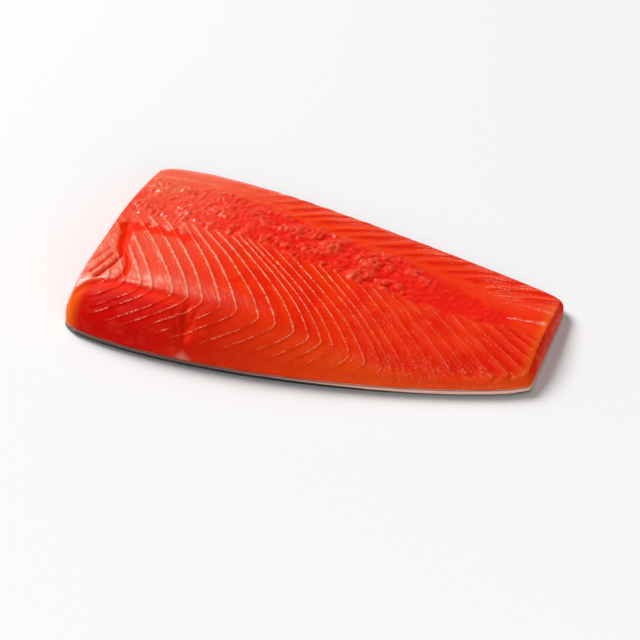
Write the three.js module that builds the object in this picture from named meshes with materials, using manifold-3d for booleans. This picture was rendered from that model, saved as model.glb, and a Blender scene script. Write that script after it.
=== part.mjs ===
// A raw salmon fillet, skin side down: a piece cut from the tail half of one side of the fish.
// Two solids: the flesh, and the skin with its fat lining, which runs under the whole of it.
// Millimetres. +X runs from the head cut to the tail cut, +Y from the back edge to the belly edge,
// +Z up. Heights are measured from the surface that the skin lies on.

import * as THREE from 'three';
import { mergeVertices } from 'three/addons/utils/BufferGeometryUtils.js';
import { ImprovedNoise } from 'three/addons/math/ImprovedNoise.js';
import Module from 'manifold-3d';

// ---- Driving dimensions ----

const length = 209; // head cut to tail cut
const backEdge = { head: 47, tail: 22, bulge: 19, skew: 0.88 }; // midline datum to the back edge
const bellyEdge = { head: 64.5, tail: 35, bulge: 12.5, skew: 0.55 }; // midline datum to the belly edge
const edgeRounding = 0.6; // below 1 gives the outline full sides

const skinThickness = 1.8; // skin and its pale fat lining
const skinLip = 0.7; // how far the skin shows past the flesh along both long edges
const layerGap = 0.3; // clearance between the skin and the flesh
const backCurl = { rise: 1.0, run: 7 }; // the skin lifts a little towards each long edge
const bellyCurl = { rise: 2.2, run: 9 };

const thickness = { head: 17.5, peak: 20.5, tail: 9.5, peakAt: 0.27 }; // flesh on the midline
const edgeThickness = 1.2; // flesh left standing at the two long edges
const backRun = { head: 26, tail: 46 }; // how far the back flank takes to reach full height
const bellyShare = 0.34; // thickness kept at the belly edge, as a share of the midline's
const bellyRun = 62;
const bellyPower = 1.6;
const bellyRounding = 9;

// Muscle flakes: each is a bent band, V-shaped on the back half and swept towards the tail on
// the belly half. Shares are of the width, counted from the back edge. The bands are uneven: these
// are the X of their tips, and past both ends of the list they are as wide as the outer ones.
const bandTips = [
  -78.5, -70, -64.5, -54.5, -47, -40, -31.8, -24.3, -14, -6, 2.5, 9.3, 15, 20.5, 28.5, 35.5, 43,
  47.5, 53.5, 60, 66, 74, 80, 88, 94.5, 101,
];
const outerBand = { width: 7.5, count: 9 };
const seam = 0.6; // line of the backbone
// Where the bands turn back, as X and a share of the width.
const flakeTip = [
  [-105, 0.16],
  [-20, 0.15],
  [0, 0.13],
  [20, 0.1],
  [36, 0.06],
  [55, 0.025],
  [75, 0.02],
  [90, 0.045],
  [105, 0.08],
];
// Sweep along X past each bend: millimetres per unit of width, and per unit squared.
const flankSweep = [60, 1000];
const backSweep = 70;
const backBow = [
  [-105, 105],
  [20, 110],
  [60, 55],
  [105, 40],
];
const bellySweep = [120, 0];
const bendSoftness = 0.012;
const flakeRelief = { back: 0.6, belly: 0.32 }; // height of the step from one flake to the next
const flakeFall = 0.15; // share of a band over which its step falls to the next
const reliefFade = 4; // the relief dies away this near the two long edges
const flakeWander = { reach: 1.3, alongX: 26, acrossY: 18 }; // how a band strays

// The scraped strip along the backbone: a torn, hollowed band of the surface, between two borders
// given as X and a share of the width.
const strip = { hollow: 0.35, relief: 1.2, bellyRelief: 0.4, grain: 7 };
const stripLow = [
  [-104, 0.53],
  [-20, 0.515],
  [10, 0.485],
  [40, 0.46],
  [75, 0.44],
  [84, 0.49],
  [90, 0.56],
  [105, 0.6],
];
const stripHigh = [
  [-104, 0.84],
  [-40, 0.8],
  [-5, 0.76],
  [30, 0.77],
  [53, 0.71],
  [78, 0.62],
  [90, 0.58],
  [105, 0.61],
];
const stripBlend = 0.07; // share of the width over which the strip gives way to the flakes

// What handling left: creases in the flesh near the head cut, and a dent in the back flank.
const creases = [
  { depth: 1.5, width: 2.2, route: [[-95, 3], [-91, -6], [-87, -17], [-88, -24], [-92, -35]] },
  { depth: 0.6, width: 2.6, route: [[-94, 4], [-80, 4], [-65, 2.5], [-50, 0.5]] },
];
const creaseSamples = 24;
const flankDent = { x: -43, y: -50, depth: 1.6, radius: 5 };

// Knife cuts: each plane leans by this many millimetres along X per millimetre of Y and of Z.
// The soft flesh draws back from them at the top rim and in the four corners of the outline.
const headCut = { alongY: -0.035, alongZ: 0.1, backCorner: 7, bellyCorner: 9 };
const tailCut = { alongY: 0, alongZ: -0.04, backCorner: 5, bellyCorner: 9 };
const cutRim = { inset: 2.2, from: 0.55 }; // starts at this share of the height of the cut
const cutRimLevels = [0.3, 0.55, 0.72, 0.84, 0.93, 1, 1.12];

// ---- Resolution ----

const columnsPerFlake = 4;
const fleshRows = 36;
const layerCells = { along: 30, across: 16 };
const cutRows = 20;
const rowCrowding = 0.55; // packs the rows towards the two long edges
const cutRowCrowding = 0.85;
const trimming = 6; // what the knife cuts trim off the layers
const headroom = 40;
const footroom = 6;

// ---- Small helpers ----

const { lerp, clamp, smoothstep } = THREE.MathUtils;
const noise = new ImprovedNoise();
const mix = (size, u) => lerp(size.head, size.tail, u);
const along = (x) => clamp(x / length + 0.5, 0, 1);

/** Rises from 0 to 1 as a quarter circle does. */
const quarterRound = (share) => Math.sqrt(1 - (1 - clamp(share, 0, 1)) ** 2);

/** Reads a table of [x, value] rows at an x, straight between its rows. */
function tableAt(table, x) {
  const row = clamp(table.findLastIndex(([at]) => at <= x), 0, table.length - 2);
  const [[x0, value0], [x1, value1]] = [table[row], table[row + 1]];
  return lerp(value0, value1, clamp((x - x0) / (x1 - x0), 0, 1));
}

/** A straight line turned up smoothly where it crosses zero. */
const softRamp = (value) => (value + Math.hypot(value, bendSoftness)) / 2;

// ---- Outline ----

function edgeOffset(edge, x) {
  const u = along(x);
  return mix(edge, u) + edge.bulge * Math.sin(Math.PI * u ** edge.skew) ** edgeRounding;
}

const backY = (x) => -edgeOffset(backEdge, x);
const bellyY = (x) => edgeOffset(bellyEdge, x);

// ---- Heights ----

/** How far the skin has lifted off the surface at a point. */
function curl(x, y) {
  const lift = ({ rise, run }, inset) => rise * clamp(1 - inset / run, 0, 1.2) ** 2;
  return lift(backCurl, y - backY(x)) + lift(bellyCurl, bellyY(x) - y);
}

const bedHeight = (x, y) => curl(x, y) + skinThickness + layerGap;

function midThickness(u) {
  const { head, peak, tail, peakAt } = thickness;
  return u < peakAt
    ? lerp(head, peak, smoothstep(u, 0, peakAt))
    : lerp(peak, tail, smoothstep(u, peakAt, 1.05) ** 0.9);
}

/** Height of the flesh over its bed at a point, before any relief. */
function fleshDepth(x, share) {
  const u = along(x);
  const width = bellyY(x) - backY(x);
  const fromBack = share * width;
  const fromBelly = width - fromBack;
  const flank = quarterRound(fromBack / mix(backRun, u));
  const slope = 1 - (1 - clamp(fromBelly / bellyRun, 0, 1)) ** bellyPower;
  const belly = (bellyShare + (1 - bellyShare) * slope) * quarterRound(fromBelly / bellyRounding);
  return edgeThickness + midThickness(u) * flank * belly;
}

// ---- Relief ----

/** Each band swells along its width, then steps down at the line where it ends. */
function flakeStep(phase) {
  const share = phase - Math.floor(phase);
  return share < flakeFall ? 1 - share / flakeFall : (share - flakeFall) / (1 - flakeFall);
}

const creaseTracks = creases.map(({ depth, width, route }) => {
  const curve = new THREE.CatmullRomCurve3(route.map(([x, y]) => new THREE.Vector3(x, y, 0)));
  return { depth, width, points: curve.getSpacedPoints(creaseSamples) };
});

const hollow = (away, { depth, width }) => depth * Math.exp(-((away / width) ** 2));

/** How deep handling has pressed or creased the flesh at a point. */
function handlingDepth(x, y) {
  const inCrease = (track) => {
    const away = Math.min(...track.points.map((point) => Math.hypot(point.x - x, point.y - y)));
    return hollow(away, track);
  };
  const fromDent = Math.hypot(x - flankDent.x, y - flankDent.y);
  const inDent = hollow(fromDent, { depth: flankDent.depth, width: flankDent.radius });
  return Math.max(...creaseTracks.map(inCrease)) + inDent;
}

function relief(x, y, share, phase) {
  const width = bellyY(x) - backY(x);
  const inset = Math.min(share, 1 - share) * width;
  const past = (border) => smoothstep(share - border, -stripBlend / 2, stripBlend / 2);
  const inStrip = past(tableAt(stripLow, x)) * (1 - past(tableAt(stripHigh, x)));
  const onBelly = past(seam);
  const lump = noise.noise(x / strip.grain, y / strip.grain, 0.5);
  const torn = lerp(strip.relief, strip.bellyRelief, onBelly) * lump - strip.hollow;
  const flakes = lerp(flakeRelief.back, flakeRelief.belly, onBelly) * flakeStep(phase);
  const surface = lerp(flakes, torn, inStrip) - handlingDepth(x, y);
  return surface * smoothstep(inset, 0, reliefFade);
}

// ---- Muscle bands ----

const bend = (slopes, past) => slopes[0] * softRamp(past) + slopes[1] * softRamp(past) ** 2;

/** How far a band that starts at an X has swept along X by this share of the width. */
function sweep(share, start) {
  const tip = tableAt(flakeTip, start);
  const forward = bend([backSweep, tableAt(backBow, start)], Math.min(share, seam) - tip);
  return bend(bellySweep, share - seam) - forward - bend(flankSweep, tip - share);
}

/** The X of a band's tip, by the band's number, whole or between two. */
function bandTip(number) {
  const last = bandTips.length - 1;
  const band = clamp(Math.floor(number), 0, last - 1);
  const listed = lerp(bandTips[band], bandTips[band + 1], clamp(number - band, 0, 1));
  return listed + outerBand.width * (Math.min(number, 0) + Math.max(number - last, 0));
}

// ---- Solids ----

const wasm = await Module();
wasm.setup();

/** A closed box lattice whose points are moved by a function of its three shares, as a solid. */
function moulded(cellsX, cellsY, cellsZ, place) {
  const box = new THREE.BoxGeometry(1, 1, 1, cellsX, cellsY, cellsZ);
  box.deleteAttribute('normal');
  box.deleteAttribute('uv');
  const geometry = mergeVertices(box, 1e-4);
  const position = geometry.getAttribute('position');
  for (let i = 0; i < position.count; i++) {
    const shares = [position.getX(i) + 0.5, position.getY(i) + 0.5, position.getZ(i) + 0.5];
    position.setXYZ(i, ...place(...shares));
  }
  return new wasm.Manifold(
    new wasm.Mesh({
      numProp: 3,
      vertProperties: position.array,
      triVerts: new Uint32Array(geometry.index.array),
    }),
  );
}

function geometryOf(solid) {
  const { vertProperties, triVerts } = solid.getMesh();
  const geometry = new THREE.BufferGeometry();
  geometry.setAttribute('position', new THREE.BufferAttribute(vertProperties, 3));
  geometry.setIndex(new THREE.BufferAttribute(triVerts, 1));
  geometry.computeVertexNormals();
  return geometry;
}

/** Packs evenly spaced rows towards both ends of their range. */
const crowded = (row, by = rowCrowding) => row - (by * Math.sin(2 * Math.PI * row)) / (2 * Math.PI);

/** The band lattice: its columns follow the muscle bands, so each band's step is a clean line. */
function bandBody() {
  const bands = bandTips.length - 1 + 2 * outerBand.count;
  const { reach, alongX, acrossY } = flakeWander;
  const wander = (x, share) => reach * noise.noise(x / alongX, (100 * share) / acrossY, 3.7);
  return moulded(bands * columnsPerFlake, fleshRows, 1, (a, b, c) => {
    const phase = a * bands - outerBand.count;
    const share = crowded(b);
    const start = bandTip(phase);
    const x = start + sweep(share, start) + wander(start, share);
    const y = lerp(backY(x), bellyY(x), share);
    const top = bedHeight(x, y) + fleshDepth(x, share) + relief(x, y, share, phase);
    return [x, y, c ? top : -footroom];
  });
}

/** A layer between two heights, on the one plan lattice that the skin and the flesh's bed share. */
function layer(bottomOf, topOf) {
  return moulded(layerCells.along, layerCells.across, 1, (a, b, c) => {
    const x = (a - 0.5) * (length + 2 * trimming);
    const y = lerp(backY(x) - skinLip, bellyY(x) + skinLip, crowded(b));
    return [x, y, c ? topOf(x, y) : bottomOf(x, y)];
  });
}

/** How far the flesh has drawn back from a cut, at a level given as a share of the cut's height. */
function drawnBack(cut, fromBack, fromBelly, level) {
  const corner = (radius, inset) => radius * (1 - quarterRound(inset / radius));
  const rim = cutRim.inset * clamp((level - cutRim.from) / (1 - cutRim.from), 0, 1.3) ** 2;
  return corner(cut.backCorner, fromBack) + corner(cut.bellyCorner, fromBelly) + rim;
}

/** Everything between the two knife cuts. */
function betweenCuts() {
  const topLevel = cutRimLevels.length + 1;
  return moulded(1, cutRows, topLevel, (a, b, c) => {
    const cut = a ? tailCut : headCut;
    const side = a ? 1 : -1;
    const end = (side * length) / 2;
    const back = backY(end - side * cut.backCorner) - skinLip;
    const belly = bellyY(end - side * cut.bellyCorner) + skinLip;
    const row = clamp((b * cutRows - 1) / (cutRows - 2), 0, 1);
    const share = crowded(row, cutRowCrowding);
    const outermost = b === 0 || b === 1;
    const y = outermost ? (2 * b - 1) * length : lerp(back, belly, share);
    const level = c === 0 || c === 1 ? c * cutRimLevels.at(-1) : cutRimLevels[Math.round(c * topLevel) - 1];
    const rimTop = bedHeight(end, y) + fleshDepth(end, share);
    const z = c === 0 ? -footroom : c === 1 ? headroom : level * rimTop;
    const inset = drawnBack(cut, share * (belly - back), (1 - share) * (belly - back), level);
    return [end + cut.alongY * y + cut.alongZ * z - side * inset, y, z];
  });
}

const cuts = betweenCuts();
const skin = layer(curl, (x, y) => curl(x, y) + skinThickness).intersect(cuts);
const flesh = layer(bedHeight, () => headroom).intersect(bandBody()).intersect(cuts);

// ---- The fillet ----

const fillet = new THREE.Group();

function addPart(name, solid, material) {
  const mesh = new THREE.Mesh(geometryOf(solid), material);
  mesh.name = name;
  fillet.add(mesh);
}

addPart('flesh', flesh, new THREE.MeshStandardMaterial({ color: 0xe8401a, roughness: 0.35 }));
addPart('skin', skin, new THREE.MeshStandardMaterial({ color: 0x5d5c5e, roughness: 0.4 }));

// The origin is under the middle of the fillet, on the surface it lies on.
const bounds = new THREE.Box3().setFromObject(fillet);
const middle = bounds.getCenter(new THREE.Vector3());
fillet.position.set(-middle.x, -middle.y, -bounds.min.z);

export default fillet;
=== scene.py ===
import math
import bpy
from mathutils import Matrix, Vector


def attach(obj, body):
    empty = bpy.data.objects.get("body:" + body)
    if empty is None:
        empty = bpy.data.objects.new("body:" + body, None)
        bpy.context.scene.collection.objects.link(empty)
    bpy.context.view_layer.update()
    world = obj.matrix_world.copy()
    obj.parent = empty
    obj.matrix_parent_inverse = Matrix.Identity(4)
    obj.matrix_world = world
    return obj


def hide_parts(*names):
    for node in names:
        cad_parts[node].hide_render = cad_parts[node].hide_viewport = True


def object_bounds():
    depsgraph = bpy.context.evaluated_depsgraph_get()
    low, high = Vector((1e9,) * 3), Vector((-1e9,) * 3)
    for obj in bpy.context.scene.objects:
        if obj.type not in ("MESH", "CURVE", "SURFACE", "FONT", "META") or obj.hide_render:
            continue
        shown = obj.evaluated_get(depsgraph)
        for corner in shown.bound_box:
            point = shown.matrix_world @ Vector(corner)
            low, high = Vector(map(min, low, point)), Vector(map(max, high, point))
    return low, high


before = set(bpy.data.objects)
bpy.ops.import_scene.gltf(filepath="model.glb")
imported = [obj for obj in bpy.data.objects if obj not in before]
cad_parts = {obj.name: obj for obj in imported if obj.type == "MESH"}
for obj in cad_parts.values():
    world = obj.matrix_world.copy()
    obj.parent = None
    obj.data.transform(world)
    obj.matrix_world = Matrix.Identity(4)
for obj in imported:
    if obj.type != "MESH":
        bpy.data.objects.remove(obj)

from types import SimpleNamespace

import bmesh
import bpy
import numpy as np
from mathutils import Matrix, Vector, noise

bl_info = {
    "name": "Raw salmon fillet",
    "version": (1, 0, 0),
    "blender": (4, 5, 0),
    "location": "View3D > Sidebar > Fillet",
    "description": "Models the flesh and the skin of a raw salmon fillet, and the table it lies on",
    "category": "Add Mesh",
}

CAD_LOW, CAD_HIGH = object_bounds()
MM = 0.001

# ---- The fillet's dimensions, in millimetres, as its solids have them ----
# X runs from the head cut to the tail cut and Y from the back edge to the belly edge, both from
# a datum on the midline. Shares are of the width, counted from the back edge.

LENGTH = 209.0
BACK_EDGE = {"head": 47.0, "tail": 22.0, "bulge": 19.0, "skew": 0.88}
BELLY_EDGE = {"head": 64.5, "tail": 35.0, "bulge": 12.5, "skew": 0.55}
EDGE_ROUNDING = 0.6
SKIN_THICKNESS = 1.8
SKIN_LIP = 0.7
LAYER_GAP = 0.3
LINING_SWELL = 0.28
SCALE_SIZE = 3.2
SPOT_SPACING = 12.0
BACK_CURL = {"rise": 1.0, "run": 7.0}
BELLY_CURL = {"rise": 2.2, "run": 9.0}
THICKNESS = {"head": 17.5, "peak": 20.5, "tail": 9.5, "peak_at": 0.27}
EDGE_THICKNESS = 1.2
BACK_RUN = {"head": 26.0, "tail": 46.0}
BELLY_SLOPE = {"share": 0.34, "run": 62.0, "power": 1.6, "rounding": 9.0}
HEAD_CUT = {"side": -1, "along_y": -0.035, "along_z": 0.1, "back_corner": 7.0, "belly_corner": 9.0}
TAIL_CUT = {"side": 1, "along_y": 0.0, "along_z": -0.04, "back_corner": 5.0, "belly_corner": 9.0}
CUT_RIM = {"inset": 2.2, "from": 0.55}

# Muscle flakes: bent bands, V-shaped on the back half and swept tailward on the belly half. The
# lists are the X of the bands' tips, and of the belly's ridges at one share of the width.
BAND_TIPS = (
    *(-77.5, -69, -63.5, -53.5, -46, -39, -30.8, -23.3, -13, -5, 3.5, 10.3, 16, 21.5, 29.5, 36.5),
    *(44, 48.5, 54.5, 61, 67, 75, 81, 89, 95.5, 102),
)
OUTER_BAND = 7.5
BELLY_RIDGES = (-70, -60, -50, -41, -31, -20.5, -12, 0, 8, 19, 32.5, 41.5, 54, 64, 79, 91, 102)
BELLY_RIDGE = {"share": 0.85, "sweep": 118.0, "shallow": 0.25, "deep": 2.0}
RIDGES_FROM = ((-104, 0.84), (-40, 0.8), (-5, 0.765), (40, 0.775), (70, 0.76), (105, 0.755))
MAIN_UNTIL = ((-104, 0.53), (-20, 0.515), (10, 0.485), (40, 0.46), (75, 0.44), (105, 0.46))
FLAKE_TIP = (
    *((-105, 0.16), (-20, 0.15), (0, 0.13), (20, 0.1), (36, 0.06), (55, 0.025), (75, 0.02)),
    *((90, 0.045), (105, 0.08)),
)
SEAM = 0.6
FLANK_SWEEP = (60.0, 1000.0)
BACK_SWEEP = 70.0
BACK_BOW = ((-105, 105), (-50, 100), (-32, 75), (-12, 125), (20, 125), (60, 55), (105, 40))
BELLY_SWEEP = (120.0, 0.0)
BEND_SOFTNESS = 0.012
WANDER_REACH = 0.06
RIDGE_WANDER = 0.16
FLANK_JAGS = {"reach": 0.45, "share": 0.05, "spread": 0.05}
FLAKE_FALL = 0.13

# The torn strip along the backbone's place: its two borders as (X, share of the width).
STRIP_LOW = (
    *((-104, 0.53), (-20, 0.515), (10, 0.485), (40, 0.46), (75, 0.44), (84, 0.49), (90, 0.56)),
    *((105, 0.6),),
)
STRIP_HIGH = (
    *((-104, 0.84), (-40, 0.8), (-5, 0.76), (30, 0.77), (53, 0.71), (78, 0.62), (90, 0.58)),
    *((105, 0.61),),
)
STRIP_BORDERS = {"low": (-0.02, 0.03), "high": (-0.035, 0.025), "rag": 0.025, "fine_rag": 0.018}
STRIP_HOLLOW = 0.35
FAT_SEAM = ((84.5, 9.2), (91, 10.3), (96, 11.3), (99.5, 12.1))

# The seed keeps the bends of the strip's lumps the same from run to run.
STRIP_SEED = 3

# Borders of the other zones, as shares of the width, and the flank's in millimetres.
MAIN_BORDER = (-0.02, 0.03)
RIDGE_BORDER = (-0.01, 0.06)
BELLY_BORDER = (0.55, 0.68)
FLANK_BORDER = {"crisp": 1.2, "soft": 5.0}

# The knife cuts, where the flakes show as nested arcs. The levels are shares of the cut's height.
CUT_RINGS = {"y": -6.0, "every": 4.6, "flatten": 2.6, "stray": 0.3}
CUT_LINES = {"strength": 0.6, "from": (0.0, 0.14), "until": (0.42, 0.72)}
CUT_LEVEL = 0.8
CUT_NEARNESS = 0.5

# What handling left: creases near the head cut, a shoulder's lip, and a pale dent in the flank.
# A crease has its depth, its width, the width over which shade is painted in it as saturated flesh, and
# its route.
CREASES = (
    (1.0, 2.0, 2.9, ((-95, 3.5), (-92, -1), (-90.5, -7), (-89, -12.5), (-87, -16))),
    (1.3, 0.9, 0.8, ((-87.5, -13), (-86.8, -20), (-88, -26), (-90, -31), (-92, -35))),
    (0.6, 1.3, 1.7, ((-88, -12), (-85, -17), (-82, -21.5), (-80.3, -26), (-79.6, -31), (-81, -36))),
    (0.6, 0.6, 0.6, ((-91, -18), (-92, -23), (-93.5, -28), (-95.5, -33))),
    (0.4, 0.5, 0.3, ((-94, -14), (-95.5, -20), (-98, -25))),
    (0.9, 1.3, 0.3, ((-45, -42), (-44.5, -48), (-42, -55))),
    (0.5, 1.0, 0.3, ((-40, -44), (-42, -49), (-41, -54))),
    (0.4, 0.8, 0.3, ((-50, -46), (-47, -50), (-45, -54))),
)
CREASE_SOFTNESS = 0.5
TRENCH = {"depth": 0.5, "share": 0.464, "width": 2.4, "from": (-96, -93), "until": (-66, -46), "rag": 3.0}
SHOULDER = {"share": 0.158, "from": -100.5, "run": 20.5}
SHOULDER_CREST = {"height": 0.3, "past": 1.2, "spread": 1.6}
SHOULDER_FURROW = {"height": 0.35, "past": -2.4, "spread": 2.2}
DENT = {"x": -43.0, "y": -50.0, "depth": 1.5, "radius": 4.5, "scar": 6.0, "scar_x": -42.0}
SWELL_HEIGHT = 0.35

# How far from an edge and from a cut the relief is whole.
EDGE_CALM = 4.0
CUT_CALM = 2.5

# Noises over the plan: the length of a lump along X and along Y, and which noise it is.
NOISES = {
    "wander": (26.0, 18.0, 0),
    "jags": (2.4, 2.4, 12),
    "fold": (9.0, 5.0, 9),
    "fine": (1.4, 1.4, 8),
    "rag": (3.6, 3.6, 2),
    "swell": (17.0, 13.0, 4),
    "border": (7.0, 7.0, 6),
    "fine_border": (2.5, 2.5, 7),
    "calm": (13.0, 8.0, 11),
}

# What grows along the fillet: the X where it begins and the X where it is full.
GROWTH = {
    "jags": (30, 55),
    "jags_end": (84, 94),
    "tail_wedges": (76, 90),
    "past_flap": (-91, -86),
    "deep_ridges": (-62, -25),
    "soft_shoulder": (-62, -30),
    "soft_flank": (-70, -20),
    "thin_main_lines": (-10, 50),
    "thin_flank_lines": (30, 80),
    "belly_lines": (-60, -25),
    "dark_ridges": (-55, -20),
    "flap_sheen": (-88, -93),
    "corner_sheen": (-78, -84),
    "tip_sheen_end": (-60, 0),
    "tail_strokes": (0, 45),
}

# Smears of wet film towards the belly edge, painted as pale highlight streaks and raised as fine bumps:
# their strength, and where they begin and are full, along X and as a share of the width.
SMEARS = (
    (0.55, (-45, -10), (0.86, 0.93)),
    (0.4, (55, 80), (0.66, 0.74)),
    (0.3, (-15, -50), (0.76, 0.86)),
)

# ---- Mesh resolution ----

FLESH_CELLS = (310, 240)
SKIN_CELLS = (170, 90)
ROW_CROWDING = 0.6
WALL_LEVELS = (0.97, 0.93, 0.88, 0.82, 0.75, 0.66, 0.55, 0.42, 0.28, 0.14, 0.0)
UNDER_INSETS = (2.0, 5.0, 9.0)
UNDER_LIFT = 0.04
MERGE_DISTANCE = 0.001
SKIN_CUTS = 5
SLOPE_STEP = 1e-3
PLAN_ROUNDS = 5
BAND_ROUNDS = 20
ROUTE_SPOTS = 60


def paint(red, green, blue):
    """A display colour, 0 to 255 a channel, as the linear colour that a shader takes."""
    shares = (channel / 255 for channel in (red, green, blue))
    return tuple(s / 12.92 if s <= 0.04045 else ((s + 0.055) / 1.055) ** 2.4 for s in shares)


# ---- Small helpers ----


def blend(a, b, share):
    return a + (b - a) * share


def mix(size, u):
    """A size at a share of the way from the head cut to the tail cut."""
    return blend(size["head"], size["tail"], u)


def smoothstep(value, low, high):
    share = np.clip((value - low) / (high - low), 0, 1)
    return share * share * (3 - 2 * share)


def hump(value, middle, spread):
    """A bell over a value, 1 at its middle."""
    return np.exp(-(((value - middle) / spread) ** 2))


def along(x):
    return np.clip(x / LENGTH + 0.5, 0, 1)


def quarter_round(share):
    """Rises from 0 to 1 as a quarter circle does."""
    return np.sqrt(1 - (1 - np.clip(share, 0, 1)) ** 2)


def soft_ramp(value):
    """A straight line turned up smoothly where it crosses zero."""
    return (value + np.hypot(value, BEND_SOFTNESS)) / 2


def crowded(row):
    """Packs evenly spaced rows towards both ends of their range."""
    return row - ROW_CROWDING * np.sin(2 * math.pi * row) / (2 * math.pi)


def listed(x, table):
    """Reads a value at X off a list of places, each an X and its value."""
    return np.interp(x, *zip(*table))


def growth(name, x):
    """How far something has grown at X, from 0 to 1."""
    return smoothstep(x, *GROWTH[name])


def each_point(function, *coordinates):
    """Runs a function of one point over arrays of coordinates."""
    return np.array([function(Vector(point)) for point in zip(*coordinates)])


def noise_over(name, x, y):
    along_x, along_y, which = NOISES[name]
    return each_point(noise.noise, x / along_x, y / along_y, 0 * x + which)


# ---- Outline and heights, in millimetres ----


def edge_offset(edge, x):
    u = along(x)
    swell = np.abs(np.sin(math.pi * u ** edge["skew"])) ** EDGE_ROUNDING
    return mix(edge, u) + edge["bulge"] * swell


def back_y(x):
    return -edge_offset(BACK_EDGE, x)


def belly_y(x):
    return edge_offset(BELLY_EDGE, x)


def lift(curl, inset):
    return curl["rise"] * np.clip(1 - inset / curl["run"], 0, 1.2) ** 2


def skin_lift(x, y):
    """How far the skin has lifted off the table at a point."""
    return lift(BACK_CURL, y - back_y(x)) + lift(BELLY_CURL, belly_y(x) - y)


def bed_height(x, y):
    return skin_lift(x, y) + SKIN_THICKNESS + LAYER_GAP


def mid_thickness(u):
    peak_at = THICKNESS["peak_at"]
    rise = smoothstep(u, 0, peak_at)
    fall = smoothstep(u, peak_at, 1.05) ** 0.9
    headward = blend(THICKNESS["head"], THICKNESS["peak"], rise)
    tailward = blend(THICKNESS["peak"], THICKNESS["tail"], fall)
    return np.where(u < peak_at, headward, tailward)


def flesh_depth(x, share):
    u = along(x)
    width = belly_y(x) - back_y(x)
    from_back = share * width
    from_belly = width - from_back
    flank = quarter_round(from_back / mix(BACK_RUN, u))
    rise = 1 - (1 - np.clip(from_belly / BELLY_SLOPE["run"], 0, 1)) ** BELLY_SLOPE["power"]
    slope = blend(BELLY_SLOPE["share"], 1, rise)
    rounding = quarter_round(from_belly / BELLY_SLOPE["rounding"])
    return EDGE_THICKNESS + mid_thickness(u) * flank * slope * rounding


def cut_x(cut, y, z, level):
    """Where a knife cut stands along X, at a share of its height: rounded at rim and corners."""
    side = cut["side"]
    end = side * LENGTH / 2
    from_back = y - back_y(end - side * cut["back_corner"])
    from_belly = belly_y(end - side * cut["belly_corner"]) - y
    corners = sum(
        radius * (1 - quarter_round(inset / radius))
        for radius, inset in ((cut["back_corner"], from_back), (cut["belly_corner"], from_belly))
    )
    past_rim = np.clip((level - CUT_RIM["from"]) / (1 - CUT_RIM["from"]), 0, 1.3)
    inset = corners + CUT_RIM["inset"] * past_rim**2
    return end + cut["along_y"] * y + cut["along_z"] * z - side * inset


def plan_point(a, share, level, height_at, lip=0.0):
    """The plan position of shares along and across the fillet, between the two cuts."""
    x = (a - 0.5) * LENGTH
    for _ in range(PLAN_ROUNDS):
        y = blend(back_y(x) - lip, belly_y(x) + lip, share)
        z = height_at(x, y)
        x = blend(cut_x(HEAD_CUT, y, z, level), cut_x(TAIL_CUT, y, z, level), a)
    return x, blend(back_y(x) - lip, belly_y(x) + lip, share)


def flesh_point(a, share, level):
    """A point of the smooth flesh: its top at level 1, and its side or cut below that."""
    def height_at(x, y):
        return bed_height(x, y) + level * flesh_depth(x, share)

    x, y = plan_point(a, share, level, height_at)
    return x, y, height_at(x, y)


# ---- Muscle bands ----


def sweep(share, start):
    """How far along X a muscle band has moved at a share, from where it bends at its tip."""
    tip = listed(start, FLAKE_TIP)
    flank = bend(FLANK_SWEEP, tip - share)
    bow = listed(start, BACK_BOW)
    forward = bend((BACK_SWEEP, bow), np.minimum(share, SEAM) - tip)
    return bend(BELLY_SWEEP, share - SEAM) - forward - flank


def bend(slopes, past):
    """How far a band has bent past a share, by its two slopes."""
    past = soft_ramp(past)
    return slopes[0] * past + slopes[1] * past**2


def flake_phase(x, share, wander):
    """Counts the muscle bands: a whole number on each line between two of them."""
    start = x
    for _ in range(BAND_ROUNDS):
        start = x - sweep(share, start)
    counted = np.interp(start, BAND_TIPS, range(len(BAND_TIPS)))
    beyond = np.minimum(start - BAND_TIPS[0], 0) + np.maximum(start - BAND_TIPS[-1], 0)
    return counted + beyond / OUTER_BAND - wander


def ridge_phase(x, share, wander):
    """Counts the belly's ridges: a whole number on the crest of each."""
    level_x = x - BELLY_RIDGE["sweep"] * (share - BELLY_RIDGE["share"])
    return np.interp(level_x, BELLY_RIDGES, range(len(BELLY_RIDGES))) - wander


def surface_steps(a, share, level):
    """A point of the smooth flesh, and how far a small step moves it along and across."""
    steps = ((0, 0), (SLOPE_STEP, 0), (0, SLOPE_STEP))
    here, aside, across = (np.array(flesh_point(a + da, share + ds, level)) for da, ds in steps)
    return here, aside - here, across - here


def surface_spread(a, share, wander):
    """Millimetres of surface for each muscle band, measured square to its lines."""
    here, aside, across = surface_steps(a, share, 1.0)
    phase = flake_phase(here[0], share, wander)
    slope_a = (flake_phase(here[0] + aside[0], share, wander) - phase) / SLOPE_STEP
    slope_s = (flake_phase(here[0] + across[0], share + SLOPE_STEP, wander) - phase) / SLOPE_STEP
    da, ds = aside / SLOPE_STEP, across / SLOPE_STEP
    aa, bb, ab = (da * da).sum(0), (ds * ds).sum(0), (da * ds).sum(0)
    area = np.maximum(aa * bb - ab * ab, 1e-6)
    steepness = (slope_a**2 * bb - 2 * slope_a * slope_s * ab + slope_s**2 * aa) / area
    return 1 / np.sqrt(np.maximum(steepness, 1e-6))


def surface_normal(a, share, level):
    _, aside, across = surface_steps(a, share, level)
    normal = np.cross(aside, across, axis=0)
    return normal / np.maximum(np.linalg.norm(normal, axis=0), 1e-9)


# ---- Relief ----


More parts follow.
